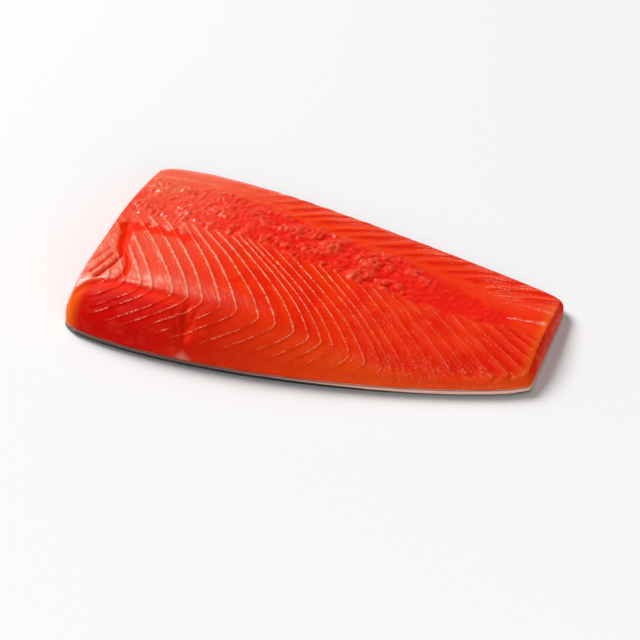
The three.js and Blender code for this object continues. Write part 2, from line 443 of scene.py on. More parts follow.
def route_distance(route, x, y):
    """Distance from each point to a broken line with its corners eased."""
    knots = np.array(route, float)
    spots = np.linspace(0, len(knots) - 1, ROUTE_SPOTS)
    eased = [np.interp(spots, range(len(knots)), knots[:, k]) for k in (0, 1)]
    window = np.ones(7) / 7
    smooth = [np.convolve(np.pad(line, 3, mode="edge"), window, mode="valid") for line in eased]
    return np.min([np.hypot(x - px, y - py) for px, py in zip(*smooth)], axis=0)


def crease_marks(x, y, rag):
    """How deep the creases are at each point, and how far shade is painted there as saturated flesh."""
    depths, crease_shades = [], []
    for depth, width, fill, route in CREASES:
        away = route_distance(route, x, y)
        depths.append(depth * hump(away, 0, width))
        crease_shades.append(1 - smoothstep(away + rag, fill - CREASE_SOFTNESS, fill + CREASE_SOFTNESS))
    return np.max(depths, axis=0), np.max(crease_shades, axis=0)


def flake_step(phase):
    """Each band swells along its width, then steps down at the line where it ends."""
    share = phase - np.floor(phase)
    rise = (share - FLAKE_FALL) / (1 - FLAKE_FALL)
    return np.where(share < FLAKE_FALL, 1 - smoothstep(share, 0, FLAKE_FALL), rise)


# ---- Meshes ----


def lattice(cells):
    """A flat grid whose points stand at their two shares, from 0 to 1, at height 1."""
    mesh = bmesh.new()
    bmesh.ops.create_grid(mesh, x_segments=cells[0], y_segments=cells[1], size=0.5)
    bmesh.ops.translate(mesh, vec=(0.5, 0.5, 1.0), verts=mesh.verts)
    return mesh


def let_down(mesh, edges, height):
    """Extrudes a ring of edges and leaves the new ring at a height."""
    made = bmesh.ops.extrude_edge_only(mesh, edges=edges)["geom"]
    for item in made:
        if isinstance(item, bmesh.types.BMVert):
            item.co.z = height
    return [item for item in made if isinstance(item, bmesh.types.BMEdge) and item.is_boundary]


def finished_piece(mesh, name, place):
    """Moves a lattice's points to their places, by a function of their shares, as one object."""
    bmesh.ops.recalc_face_normals(mesh, faces=mesh.faces)
    data = bpy.data.meshes.new(name)
    mesh.to_mesh(data)
    mesh.free()
    shares = np.empty(len(data.vertices) * 3)
    data.vertices.foreach_get("co", shares)
    points, marks = place(*shares.reshape(-1, 3).T)
    data.vertices.foreach_set("co", (np.stack(points, axis=-1) * MM).ravel())
    data.transform(Matrix.Translation(datum()))
    for mark, values in marks.items():
        layer = data.attributes.new(mark, "FLOAT_VECTOR", "POINT")
        layer.data.foreach_set("vector", np.stack(values, axis=-1).astype(np.float32).ravel())
    data.polygons.foreach_set("use_smooth", [True] * len(data.polygons))
    merge_doubles(data)
    return add_object(name, data)


def add_object(name, data):
    """A new object of the scene."""
    item = bpy.data.objects.new(name, data)
    bpy.context.scene.collection.objects.link(item)
    return item


def merge_doubles(data):
    """Joins the points that meet at one place, and takes away the faces between them."""
    mesh = bmesh.new()
    mesh.from_mesh(data)
    bmesh.ops.remove_doubles(mesh, verts=mesh.verts, dist=MERGE_DISTANCE * MM)
    mesh.to_mesh(data)
    mesh.free()


def datum():
    """Where the outline's datum stands in the frame: the outline is laid over the frame's box."""
    x = np.linspace(-LENGTH / 2, LENGTH / 2, 400)
    low_y, high_y = back_y(x).min() - SKIN_LIP, belly_y(x).max() + SKIN_LIP
    share = np.linspace(0, 1, 400)
    ends = [plan_point(a, share, 0.0, skin_lift, SKIN_LIP)[0] for a in (0.0, 1.0)]
    mid_x = (ends[0].min() + ends[1].max()) / 2
    middle = (CAD_LOW + CAD_HIGH) / 2
    return Vector((middle.x - mid_x * MM, middle.y - (low_y + high_y) / 2 * MM, CAD_LOW.z))


# ---- Pieces ----


class FleshPoints:
    """The flesh's points before their relief, in millimetres, and what each of them lies on."""

    def __init__(self, a, row, level):
        ring = np.maximum(-level, 0).round().astype(int)
        inset = np.take((0.0, *UNDER_INSETS), ring)
        mid_width = belly_y(0.0) - back_y(0.0)
        self.a = np.clip(a, inset / LENGTH, 1 - inset / LENGTH)
        self.share = np.clip(crowded(row), inset / mid_width, 1 - inset / mid_width)
        self.level = np.maximum(level, 0)
        self.under = level < 0
        self.on_top = self.level == 1
        self.x, self.y, self.z = flesh_point(self.a, self.share, self.level)
        bed = bed_height(self.x, self.y)
        self.z = np.where(self.under, bed + UNDER_LIFT, self.z)
        self.height = self.z - bed
        self.u = along(self.x)
        self.width = belly_y(self.x) - back_y(self.x)
        self.to_edge = np.minimum(self.share, 1 - self.share) * self.width
        self.to_cut = np.minimum(self.a, 1 - self.a) * LENGTH
        self.near_cut = self.to_cut < CUT_NEARNESS
        self.tip = listed(self.x, FLAKE_TIP)
        self.from_shoulder = (self.share - shoulder_share(self.x)) * self.width
        self.fold = noise_over("fold", self.x, self.y)
        self.fine = noise_over("fine", self.x, self.y)
        self.find_zones()
        self.find_wear()
        self.count_bands()

    def find_zones(self):
        """How far each point is in the strip, on the main flakes, the ridges and the flank."""
        self.in_strip, self.lumps, ragged = torn_strip(self.x, self.y, self.share, self.u)
        self.on_main = 1 - smoothstep(self.share + ragged - listed(self.x, MAIN_UNTIL), *MAIN_BORDER)
        self.ridged = smoothstep(self.share + ragged - listed(self.x, RIDGES_FROM), *RIDGE_BORDER)
        self.on_belly = smoothstep(self.share, *BELLY_BORDER)
        soft = blend(FLANK_BORDER["crisp"], FLANK_BORDER["soft"], growth("soft_flank", self.x))
        self.on_flank = 1 - smoothstep(self.from_shoulder, -soft, soft)
        self.past_flap = growth("past_flap", self.x)
        self.tail_wedges = growth("tail_wedges", self.x)
        self.crisp_shoulder = 1 - growth("soft_shoulder", self.x)

    def find_wear(self):
        """How far each point is in a crease or in the groove beside the torn strip."""
        self.creased, filled = crease_marks(self.x, self.y, 0.35 * self.fine)
        rag = TRENCH["rag"] * noise_over("rag", self.x, self.y) + 1.4 * self.fine
        from_trench = (self.share - TRENCH["share"]) * self.width + rag
        self.trench = np.minimum(1, 2.0 * hump(from_trench, 0, TRENCH["width"]))
        self.trench *= smoothstep(self.x, *TRENCH["from"])
        self.trench *= 1 - smoothstep(self.x, *TRENCH["until"])
        self.filled = np.maximum(filled, self.trench)

    def count_bands(self):
        """Where each point stands among the flakes or the ridges, and how wide they are there."""
        straying = noise_over("wander", self.x, 100 * self.share)
        jagged = hump(self.share, FLANK_JAGS["share"], FLANK_JAGS["spread"])
        jagged = jagged * growth("jags", self.x) * (1 - growth("jags_end", self.x))
        jags = FLANK_JAGS["reach"] * jagged * noise_over("jags", self.x, self.y)
        wander = WANDER_REACH * straying + jags
        ridges = ridge_phase(self.x, self.share, RIDGE_WANDER * straying)
        self.phase = np.where(self.share < SEAM, flake_phase(self.x, self.share, wander), ridges)
        self.spread = surface_spread(self.a, self.share, wander)


def flesh_shape(look):
    """The place and the marks of every point of the flesh."""

    def place(a, row, level):
        at = FleshPoints(a, row, level)
        torn = look.strip_roughness / MM * at.lumps - STRIP_HOLLOW
        relief = flesh_relief(at, torn, look.flake_step / MM) * surface_normal(at.a, at.share, at.level)
        return np.array((at.x, at.y, at.z)) + np.where(at.under, 0, relief), flesh_marks(at, torn)

    return place


def flesh_relief(at, torn, step):
    """How far each point stands out from the smooth flesh, in millimetres."""
    ridges = blend(BELLY_RIDGE["shallow"], BELLY_RIDGE["deep"], growth("deep_ridges", at.x))
    ridges *= 0.75 + 0.5 * at.fold
    depth = blend(1 + 1.2 * at.tail_wedges, ridges, at.on_belly) * np.maximum(at.on_main, at.ridged)
    flakes = depth * at.past_flap * step * flake_step(at.phase)
    crest, furrow = (
        fold["height"] * hump(at.from_shoulder, fold["past"], fold["spread"])
        for fold in (SHOULDER_CREST, SHOULDER_FURROW)
    )
    dent = DENT["depth"] * hump(np.hypot(at.x - DENT["x"], at.y - DENT["y"]), 0, DENT["radius"])
    relief = blend(flakes, torn, at.in_strip) + SWELL_HEIGHT * noise_over("swell", at.x, at.y)
    relief += at.crisp_shoulder * (crest - furrow)
    relief -= at.creased + TRENCH["depth"] * at.trench + dent
    calm = smoothstep(at.to_edge, 0, EDGE_CALM) * smoothstep(at.to_cut, 0, CUT_CALM)
    return relief * calm * at.on_top


def flesh_marks(at, torn):
    """Where each colour and finish shows. The materials read these by name."""
    in_strip = at.in_strip * np.where(at.near_cut, smoothstep(at.level, CUT_LEVEL, 1), 1)
    on_face = at.near_cut & (at.level < CUT_LEVEL)
    phase = np.where(on_face, cut_rings(at.y, at.z, at.fold), at.phase)
    spread = np.where(at.near_cut, CUT_RINGS["every"], at.spread)
    cut_face = at.near_cut * np.clip(1 - at.level, 0, 1) * smoothstep(at.to_edge, 2, 9)
    # Painted shade: a band of the creases' saturated colour just below the shoulder's lip.
    under_lip = 0.9 * hump(at.from_shoulder, -2.8, 2.8) * at.on_flank * at.crisp_shoulder
    return {
        "flake": (phase, spread, fat_lines(at)),
        # The relief mark carries the painted furrow shade, the sheen (painted pale, and glossier) and the
        # smears (painted highlight strokes).
        "relief": (painted_furrow_shade(at), sheen(at), smears(at)),
        "zone": (in_strip, at.on_flank, at.on_belly * (1 - in_strip)),
        # Below: the painted crease shade, the pale fat and the painted glow.
        "mark": (np.maximum(at.filled, under_lip), pale_fat(at), painted_glow(at)),
        "place": (at.u, torn, cut_face),
    }


def fat_lines(at):
    """How strongly fat lines show: whole on the main flakes, broken on the flank, faint on the ridges."""
    main = smoothstep(at.share, at.tip - 0.02, at.tip + 0.02) * at.on_main * (1 - at.in_strip)
    main *= blend(1, 0.2, growth("thin_main_lines", at.x))
    flank = at.on_flank * smoothstep(at.share, 0.015, 0.05)
    flank *= blend(0.6, 0.35, growth("thin_flank_lines", at.x))
    belly = 0.12 * at.ridged * (1 - at.in_strip) * growth("belly_lines", at.x)
    broken = smoothstep(each_point(noise.noise, at.x / 7, at.y / 7, at.z / 7 + 3), -0.25, 0.05)
    lines = main * blend(0.7, 1, broken) + flank * broken + belly
    lines *= (1 - 0.85 * at.filled) * at.past_flap
    on_cut = (1 - smoothstep(at.level, *CUT_LINES["until"])) * smoothstep(at.level, *CUT_LINES["from"])
    return np.where(at.near_cut, CUT_LINES["strength"] * on_cut, lines)


def cut_rings(y, z, stray):
    """Counts the flakes on a cut, where they are cut across as nested arcs."""
    from_middle = np.hypot(y - CUT_RINGS["y"], CUT_RINGS["flatten"] * z)
    return from_middle / CUT_RINGS["every"] + CUT_RINGS["stray"] * stray


def painted_furrow_shade(at):
    """How strongly shade is painted in the furrow below each flake, as darker flesh."""
    main = at.on_main * (0.4 + 0.5 * at.tail_wedges) * (1 - at.on_flank)
    return main + at.ridged * blend(0.1, 0.95, growth("dark_ridges", at.x)) + 0.3 * at.on_flank


def sheen(at):
    """Patches of sheen by the head cut, on the flap, in the back corner and at the flakes' tips: painted
    paler there, and given a glossier coat.
    """
    flap = growth("flap_sheen", at.x) * smoothstep(at.share, 0.1, 0.2)
    flap *= 1 - smoothstep(at.share, 0.34, 0.48)
    corner = growth("corner_sheen", at.x) * smoothstep(0.33 - at.share, 0, 0.1)
    tips = hump(at.share, at.tip + 0.04, 0.04) * (1 - growth("tip_sheen_end", at.x)) * at.past_flap
    return np.max((0.7 * flap, 0.5 * corner, 0.6 * tips), axis=0) * (1 - at.on_flank)


def smears(at):
    """Moist film towards the belly edge, and fine moist strokes over the tail half: painted as pale
    highlight streaks, and raised as fine bumps.
    """
    strokes = 0.11 * at.on_main + 0.17 * hump(at.share, 0.07, 0.05)
    films = [growth("tail_strokes", at.x) * strokes]
    for strength, along_x, across in SMEARS:
        films.append(strength * smoothstep(at.x, *along_x) * smoothstep(at.share, *across))
    return np.max(films, axis=0) * at.on_top


def painted_glow(at):
    """Painted glow, brighter orange where thin flesh would let light through: the flank at the head cut
    and the tail cut's rim.
    """
    head = (1 - smoothstep(at.x + LENGTH / 2, 3.5, 13)) * at.on_flank
    tail = hump(at.x, LENGTH / 2 - 2.8, 2.4) * smoothstep(at.share, 0.02, 0.1) * at.on_top
    return np.maximum(head, 0.55 * tail * (1 - smoothstep(at.share, 0.75, 0.95)))


def pale_fat(at):
    """Fat at the dent's scar, along the flesh's lower edge and in the seam at the tail cut."""
    scar = DENT["scar"] - np.abs(at.x - DENT["scar_x"]) - at.height + at.fold
    margin = 0.45 + 0.3 * at.fold
    edge = 1 - smoothstep(at.height, margin - 0.2, margin + 0.3)
    edge *= blend(0.45, 1, smoothstep(at.u, 0.45, 0.7))
    low = np.maximum(0.5 * smoothstep(scar, -0.6, 5.0), edge) * (1 - smoothstep(at.share, 0.05, 0.35))
    seam = hump(route_distance(FAT_SEAM, at.x, at.y), 0, 0.5) * (0.55 + 1.6 * at.fine)
    end_x, end_y = FAT_SEAM[-1]
    seam_end = hump(np.hypot(at.x - end_x, at.y - end_y), 0, 1.1) * at.on_top
    return np.clip(np.maximum(low, seam + seam_end), 0, 1)


def shoulder_share(x):
    """Where the top turns down into the back flank: a rounded corner at the head cut."""
    headward = SHOULDER["share"] * quarter_round((x - SHOULDER["from"]) / SHOULDER["run"])
    return np.minimum(headward, listed(x, FLAKE_TIP))


def torn_strip(x, y, share, u):
    """How far each point is inside the torn strip, the height of its lumps, and its border's rag."""
    ragged = STRIP_BORDERS["rag"] * noise_over("border", x, y)
    ragged += STRIP_BORDERS["fine_rag"] * noise_over("fine_border", x, y)
    inside = smoothstep(share + ragged - listed(x, STRIP_LOW), *STRIP_BORDERS["low"])
    inside *= 1 - smoothstep(share + ragged - listed(x, STRIP_HIGH), *STRIP_BORDERS["high"])
    tailward = smoothstep(u, 0.6, 0.85)
    middle = smoothstep(u, 0.2, 0.42) * (1 - tailward)
    lumps = blend(0.35, 1.1, middle) * each_point(torn_lumps, x, y, 0 * x)
    ripples = blend(0.95, 0.6, middle) * each_point(torn_ripples, x, y, 0 * x)
    calm = blend(0.45, 1, smoothstep(noise_over("calm", x, y), -0.35, 0.3))
    return inside, (lumps + ripples) * calm * blend(1, 0.45, tailward), ragged


def torn_lumps(point):
    """Folds of uneven size, some with sharp crests and some round, about 0 to 1."""
    bent = Vector((point.x / 5.2, point.y / 8, 0)) + 0.7 * noise.noise_vector(point / 5)
    crests = 1 - 2.4 * abs(noise.noise(bent))
    small = 1 - 2.4 * abs(noise.noise(2.2 * bent + Vector((3, 1, 5))))
    round_ones = 2.2 * abs(noise.noise(0.8 * bent + Vector((7, 2, 9))))
    return 0.5 * crests + 0.35 * small + 0.5 * round_ones - 0.15


def torn_ripples(point):
    """Small wrinkles, about 0 to 1."""
    return 1.4 * noise.turbulence(Vector((point.x / 2.6, point.y / 4.4, 0)), 3, True) - 0.25


def skin_shape():
    """The place of every point of the skin, which is as wide as the flesh and a lip beyond."""

    def place(a, row, level):
        share = crowded(row)

        def height_at(x, y):
            return skin_lift(x, y) + level * (SKIN_THICKNESS + LINING_SWELL)

        x, y = plan_point(a, share, 0.0, height_at, SKIN_LIP)
        return (x, y, height_at(x, y)), {"zone": (share, along(x), level)}

    return place


# ---- Node trees ----


class Graph:
    """A node tree being built: each call adds one node and gives back an output of it."""

    def __init__(self, tree):
        self.tree = tree
        tree.nodes.clear()

    def node(self, kind, inputs=None, **settings):
        node = self.tree.nodes.new(kind)
        for setting, value in settings.items():
            setattr(node, setting, value)
        for key, value in (inputs or {}).items():
            socket = node.inputs[key]
            if isinstance(value, bpy.types.NodeSocket):
                self.tree.links.new(value, socket)
            else:
                socket.default_value = (*value, 1) if socket.type == "RGBA" else value
        return node

    def math(self, operation, *values):
        node = self.node("ShaderNodeMath", dict(enumerate(values)), operation=operation)
        return node.outputs[0]

    def product(self, first, *others):
        for other in others:
            first = self.math("MULTIPLY", first, other)
        return first

    def step(self, value, low, high, start=0.0, end=1.0):
        """A smooth step from start to end as the value goes from low to high."""
        inputs = {"Value": value, "From Min": low, "From Max": high, "To Min": start, "To Max": end}
        node = self.node("ShaderNodeMapRange", inputs, interpolation_type="SMOOTHSTEP")
        return node.outputs["Result"]

    def largest(self, first, *others):
        """The largest of these numbers."""
        for other in others:
            first = self.math("MAXIMUM", first, other)
        return first

    def rest(self, *shares):
        """What the largest of these shares leaves of 1."""
        return self.math("SUBTRACT", 1.0, self.largest(*shares))

    def colours(self, share, first, second):
        """A colour between two, each the output of a node or three numbers."""
        node = self.node("ShaderNodeMix", {0: share, 6: first, 7: second}, data_type="RGBA")
        return node.outputs[2]

    def layered(self, colour, layers):
        """A colour with others laid over it in turn, each with its share."""
        for share, over in layers:
            colour = self.colours(share, colour, over)
        return colour

    def mark(self, name):
        """The three numbers of one of the piece's marks."""
        vector = self.node("ShaderNodeAttribute", attribute_name=name).outputs["Vector"]
        return self.node("ShaderNodeSeparateXYZ", {0: vector}).outputs[:]

    def place(self):
        return self.node("ShaderNodeTexCoord").outputs["Object"]

    def noise(self, vector, size, detail=2.0, roughness=0.5, distortion=0.0):
        """Noise whose lumps are about this many millimetres across."""
        inputs = {"Vector": vector, "Scale": 1 / (size * MM), "Detail": detail}
        inputs.update(Roughness=roughness, Distortion=distortion)
        return self.node("ShaderNodeTexNoise", inputs).outputs["Fac"]

    def cells(self, vector, size, randomness):
        """Distance from the middles of cells that are this many millimetres across."""
        inputs = {"Vector": vector, "Scale": 1 / (size * MM), "Randomness": randomness}
        return self.node("ShaderNodeTexVoronoi", inputs).outputs["Distance"]

    def streaks(self, phase, across, per_flake, length):
        """Noise drawn out along the flakes: so many streaks a flake, this many millimetres long."""
        turned = self.product(across, 1 / (length * MM))
        inputs = {0: self.product(phase, per_flake), 1: turned}
        vector = self.node("ShaderNodeCombineXYZ", inputs).outputs[0]
        return self.noise(vector, 1 / MM)

    def bumps(self, *heights):
        """Bumps laid over each other: heights from 0 to 1, each with its millimetres."""
        normal = None
        for height, distance in heights:
            inputs = {"Height": height, "Distance": distance * MM, "Strength": 1.0}
            if normal:
                inputs["Normal"] = normal
            normal = self.node("ShaderNodeBump", inputs).outputs[0]
        return normal


def node_group(name, inputs, outputs):
    """A shader node group with these sockets, and its graph, input node and output node."""
    tree = bpy.data.node_groups.new(name, "ShaderNodeTree")
    for socket, kind, default in inputs:
        made = tree.interface.new_socket(socket, in_out="INPUT", socket_type=kind)
        if default is not None:
            made.default_value = default
    for socket, kind in outputs:
        tree.interface.new_socket(socket, in_out="OUTPUT", socket_type=kind)
    graph = Graph(tree)
    return tree, graph, graph.node("NodeGroupInput").outputs, graph.node("NodeGroupOutput").inputs


def wet_film_group():
    """Moisture: beads and smears that change the roughness and stand a little proud."""
    inputs = (
        ("Place", "NodeSocketVector", None),
        ("Bead size", "NodeSocketFloat", 1.2),
        ("Dryness", "NodeSocketFloat", 0.3),
    )
    outputs = (("Roughness", "NodeSocketFloat"), ("Height", "NodeSocketFloat"))
    tree, graph, given, result = node_group("Wet film", inputs, outputs)
    scale = graph.math("DIVIDE", 1 / MM, given["Bead size"])
    beads = graph.node("ShaderNodeTexNoise", {"Vector": given["Place"], "Scale": scale, "Detail": 3.0})
    smears = graph.noise(given["Place"], 14, detail=3.0)
    shine = graph.step(smears, 0.35, 0.65, -0.08, 0.1)
    tree.links.new(graph.math("ADD", given["Dryness"], shine), result["Roughness"])
    tree.links.new(graph.step(beads.outputs["Fac"], 0.3, 0.75), result["Height"])
    return tree


def wet_film(graph, place, bead_size, dryness):
    """Places the wet film in a material and gives back its roughness and its height."""
    group = bpy.data.node_groups.get("Wet film") or wet_film_group()
    inputs = {"Place": place, "Bead size": bead_size, "Dryness": dryness}
    node = graph.node("ShaderNodeGroup", inputs, node_tree=group)
    return node.outputs["Roughness"], node.outputs["Height"]


def new_material(name):
    material = bpy.data.materials.new(name)
    material.use_nodes = True
    return material, Graph(material.node_tree)


def finish_material(graph, **inputs):
    """Adds the Principled shader, which takes its inputs by name, and the material's output."""
    named = {key.replace("_", " ").title().replace("Ior", "IOR"): v for key, v in inputs.items()}
    shader = graph.node("ShaderNodeBsdfPrincipled", named, subsurface_method="RANDOM_WALK")
    graph.node("ShaderNodeOutputMaterial", {"Surface": shader.outputs[0]})


# ---- Materials ----


def flesh_masks(graph):
    """The flesh's marks, and the masks that several of its layers share."""
    at = SimpleNamespace(place=graph.place())
    at.phase, at.spread, at.lines = graph.mark("flake")
    at.contrast, sheen, at.smears = graph.mark("relief")
    at.strip, at.flank, at.belly = graph.mark("zone")
    at.crease, at.pale, at.painted_glow = graph.mark("mark")
    at.u, at.torn, cut_face = graph.mark("place")
    at.across = graph.node("ShaderNodeSeparateXYZ", {0: at.place}).outputs[1]
    at.past_line = graph.math("FRACT", at.phase)
    at.mottle = graph.noise(at.place, 13, 3.0, 0.55)
    at.top = graph.rest(at.flank)
    at.headward = graph.step(at.u, 0.06, 0.4, 1.0, 0.0)
    at.tailward = graph.step(at.u, 0.45, 0.8)
    at.cut_side = graph.step(cut_face, 0.05, 0.4)
    at.plain = graph.rest(at.crease, at.cut_side)
    at.sheen = graph.product(sheen, at.plain)
    return at


def fat_line(graph, look, at):
    """The fat lines between the flakes, thinner and broken into beads towards the tail."""
    turned = graph.math("FRACT", graph.math("ADD", at.phase, 0.5))
    away = graph.math("MULTIPLY_ADD", graph.math("SUBTRACT", turned, 0.5), at.spread, 0.3)
    ragged = graph.math("MULTIPLY_ADD", graph.noise(at.place, 1.6, 3.0), 0.7, -0.35)
    away = graph.math("ABSOLUTE", graph.math("ADD", away, ragged))
    thinner = graph.step(at.flank, 0.0, 1.0, 1.0, 0.7)
    width = graph.product(graph.step(at.u, 0.15, 0.65, 1.25, 0.8), thinner)
    away = graph.math("DIVIDE", away, graph.product(width, look.fat_line_width / MM / 2))
    uneven = graph.step(graph.noise(at.place, 2.4, 2.0), 0.3, 0.7, -0.45, 0.35)
    core = graph.step(graph.math("SUBTRACT", uneven, away), -1.3, -0.5)
    whole = graph.step(graph.largest(graph.product(at.u, 1.2), at.flank), 0.25, 0.6, 0.35, 0.0)
    beads = graph.step(graph.noise(at.place, 0.75, 1.0), 0.4, 0.58, whole, 1.0)
    return graph.product(core, at.lines, beads)


def wet_and_glint_places(graph, at):
    """Where painted highlights show as pale streaks of film, on the headward flakes' crests, the sheen
    and the smears; the same places get fine bumps.
    """
    crests = graph.step(at.past_line, 0.45, 0.95, 0.15, 1.0)
    wet_and_glints = graph.product(at.headward, at.top, crests, graph.rest(at.belly))
    off_strip = graph.math("MULTIPLY_ADD", at.strip, -0.8, 1.0)
    return graph.product(graph.largest(wet_and_glints, at.sheen, at.smears), at.plain, off_strip)


def torn_colour(graph, look, at):
    """Painted shade, as darker saturated flesh, in the strip's hollows, and a painted coral highlight on
    its lumps.
    """
    flesh = graph.colours(graph.step(at.torn, -0.2, 0.9), look.hollow_shade, look.strip)
    patches = graph.step(graph.noise(at.place, 1.4, 2.0), 0.4, 0.6)
    # Painted highlight: coral on the lumps' tops, in patches.
    lit = graph.product(graph.step(at.torn, 0.2, 1.1), patches)
    return graph.colours(graph.product(lit, 0.6), flesh, look.coral_and_highlight)


def flank_colour(graph, look, at):
    flesh = graph.colours(graph.step(at.u, 0.15, 0.85), look.flank, look.flank_tail)
    bloom = graph.product(graph.step(graph.noise(at.place, 5, 4.0, 0.6), 0.45, 0.75), 0.16)
    return graph.colours(bloom, flesh, look.coral_and_highlight)


def flesh_colour(graph, look, at, line, wet_and_glints):
    """The flesh's colours, from the body outwards to what lies over it."""
    streaks = graph.step(graph.streaks(at.phase, at.across, 3.1, 7.0), 0.5, 0.7)
    belly = graph.colours(at.tailward, look.belly, look.belly_tail)
    # Painted shade: darker flesh just past each fat line, where the flake steps down.
    furrow_end = graph.step(at.past_line, 0.25, 0.8, 1.0, 0.0)
    furrow = graph.product(graph.step(at.past_line, 0.04, 0.2), furrow_end)
    # Painted sheen: paler coral over the top towards the head cut, brightest on each flake's crest;
    # partly the flesh's own paler tone.
    crest = graph.math("MULTIPLY_ADD", graph.step(at.past_line, 0.55, 0.98), 0.4, 0.6)
    coral_and_painted_sheen = graph.product(at.headward, at.top, graph.step(at.mottle, 0.3, 0.6, 0.65, 1.0))
    cut_flesh = graph.colours(graph.step(at.mottle, 0.4, 0.62), look.cut_face, look.deep)
    film = graph.step(graph.streaks(at.phase, at.across, 7.0, 5.0), 0.46, 0.66)
    specks = graph.step(graph.noise(at.place, 0.8, 1.0), 0.5, 0.62, 0.1, 1.0)
    layers = (
        (graph.step(at.mottle, 0.4, 0.62, 0.0, 0.6), look.deep),
        (graph.product(streaks, 0.35), look.deep),
        (at.belly, belly),
        (graph.product(at.contrast, furrow), look.deep),
        (at.strip, torn_colour(graph, look, at)),
        (graph.product(graph.product(coral_and_painted_sheen, crest), 0.85), look.coral_and_highlight),
        (at.flank, flank_colour(graph, look, at)),
        # Painted shade: saturated, darker flesh in the creases, the trench and below the shoulder's lip.
        (at.crease, look.crease),
        # Painted glow: brighter orange on thin flesh at the cuts.
        (at.painted_glow, look.painted_glow),
        (at.cut_side, cut_flesh),
        # Painted sheen: pale colour laid over the sheen's patches.
        (graph.product(at.sheen, 0.2), look.fat),
        # Painted glints: pale speckled streaks of film.
        (graph.product(film, specks, wet_and_glints, 1.1), look.fat),
        (graph.product(line, 0.9), look.fat),
        (at.pale, look.fat_margin),
    )
    return graph.layered(graph.colours(at.tailward, look.body, look.body_tail), layers)


def flesh_material(look):
    material, graph = new_material("Wet salmon flesh")
    at = flesh_masks(graph)
    line = fat_line(graph, look, at)
    wet_and_glints = wet_and_glint_places(graph, at)
    roughness, film = wet_film(graph, at.place, 1.0, 0.42)
    fibres = graph.noise(at.place, 2.2, 4.0, 0.6, 0.4)
    rough_places = graph.largest(at.strip, graph.product(wet_and_glints, 0.8))
    specks = graph.product(graph.noise(at.place, 1.1, 2.0), rough_places)
    glazed = graph.product(at.headward, at.top, 0.45)
    sealed = graph.largest(graph.product(at.strip, 0.26), glazed, at.sheen, graph.product(line, 0.5))
    finish_material(
        graph,
        base_color=flesh_colour(graph, look, at, line, wet_and_glints),
        roughness=roughness,
        specular_ior_level=0.03,
        subsurface_weight=0.7,
        subsurface_radius=(1.0, 0.22, 0.1),
        subsurface_scale=0.003,
        coat_weight=graph.math("ADD", graph.product(sealed, at.plain), graph.product(at.top, 0.03)),
        coat_roughness=0.17,
        normal=graph.bumps((fibres, 0.14), (line, 0.25), (specks, 0.14), (film, 0.04)),
    )
    return material


def skin_material(look):
    material, graph = new_material("Salmon skin and fat lining")
    place = graph.place()
    share, u, level = graph.mark("zone")

    # The outside: dark along the back, silver below it, and spotted.
    uneven = graph.math("MULTIPLY", graph.noise(place, 22), 0.2)
    silver = graph.step(graph.math("ADD", share, uneven), 0.15, 0.6)
    edges = graph.step(graph.cells(place, SCALE_SIZE, 0.35), 0.35, 0.62)
    ragged = graph.math("MULTIPLY", graph.noise(place, 4), 0.2)
    from_spot = graph.math("ADD", graph.cells(place, SPOT_SPACING, 1.0), ragged)
    spots = graph.step(from_spot, 0.24, 0.3, 1.0, 0.0)
    spots = graph.product(spots, graph.step(share, 0.3, 0.5, 1.0, 0.0))

    # The lining: pale fat, which takes more of the edge's height towards the tail.
    rise = graph.math("MULTIPLY_ADD", graph.noise(place, 9, 3.0), 0.25, -0.12)
    fat_from = graph.math("ADD", graph.step(u, 0.45, 0.85, 0.7, 0.2), rise)
    lining = graph.step(graph.math("SUBTRACT", level, fat_from), -0.05, 0.1)
    fat = graph.colours(graph.step(u, 0.3, 0.8), look.fat_head, look.fat_tail)

    bare = graph.rest(lining)
    roughness, film = wet_film(graph, place, 1.4, 0.34)
    layers = (
        (silver, look.side),
        (graph.step(share, 0.55, 0.95), look.belly),
        (graph.product(edges, 0.35), look.back),
        (spots, look.spots),
        (lining, fat),
    )
    finish_material(
        graph,
        base_color=graph.layered(look.back, layers),
        roughness=roughness,
        metallic=graph.product(silver, bare, 0.35),
        coat_weight=0.15,
        coat_roughness=0.25,
        normal=graph.bumps((graph.product(edges, bare), 0.25), (film, 0.06)),
    )
    return material


def table_material(look):
    material, graph = new_material("White table")
    grain = graph.noise(graph.place(), 3.0, 2.0)
    shade = graph.step(grain, 0.3, 0.7, 0.99, 1.0)
    colour = graph.colours(shade, (0.0, 0.0, 0.0), look.table)
    finish_material(graph, base_color=colour, roughness=0.6, specular_ior_level=0.2)
    return material


# ---- What a user would change ----


def colour_property(name, description, red, green, blue):
    default = paint(red, green, blue)
    return bpy.props.FloatVectorProperty(
        name=name, description=description, subtype="COLOR", size=3, min=0, max=1, default=default
    )


def length_property(name, description, default):
    return bpy.props.FloatProperty(
        name=name, description=description, unit="LENGTH", min=0, default=default, precision=5
    )


